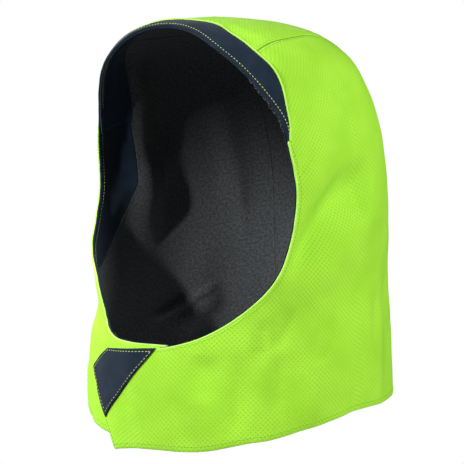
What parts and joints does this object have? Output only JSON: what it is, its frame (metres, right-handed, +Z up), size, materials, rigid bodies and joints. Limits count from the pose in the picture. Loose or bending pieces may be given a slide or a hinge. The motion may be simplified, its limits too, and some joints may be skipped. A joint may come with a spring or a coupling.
{
  "type": "arc flash hood",
  "caption": "Soft lined safety hood with an open face, a dark brim over the forehead and a collar that overlaps at the throat under a reinforced flap.",
  "frame": {"origin": "highest point of the inside of the crown, where the wearer's head carries the hood", "axes": "+Z up along the head, -Y towards the face opening, +X towards the wearer's left"},
  "size_m": [0.267, 0.2917, 0.3792],
  "materials": {
    "shell_cloth": "matt fluorescent yellow-green mesh-dotted cloth",
    "navy_cloth": "matt dark navy woven cloth",
    "lining_cloth": "matt charcoal knitted lining",
    "closure": "black hook-and-loop tape"
  },
  "bodies": {
    "root": {"side_panel_left": "shell_cloth", "side_panel_right": "shell_cloth", "crown_gusset": "shell_cloth", "brim": "navy_cloth", "lining_left": "lining_cloth", "lining_right": "lining_cloth", "lining_gusset": "lining_cloth", "brim_facing": "navy_cloth", "edge_facing_left": "navy_cloth", "edge_facing_right": "navy_cloth", "corner_patch": "navy_cloth", "closure_tape": "closure"}
  },
  "joints": []
}
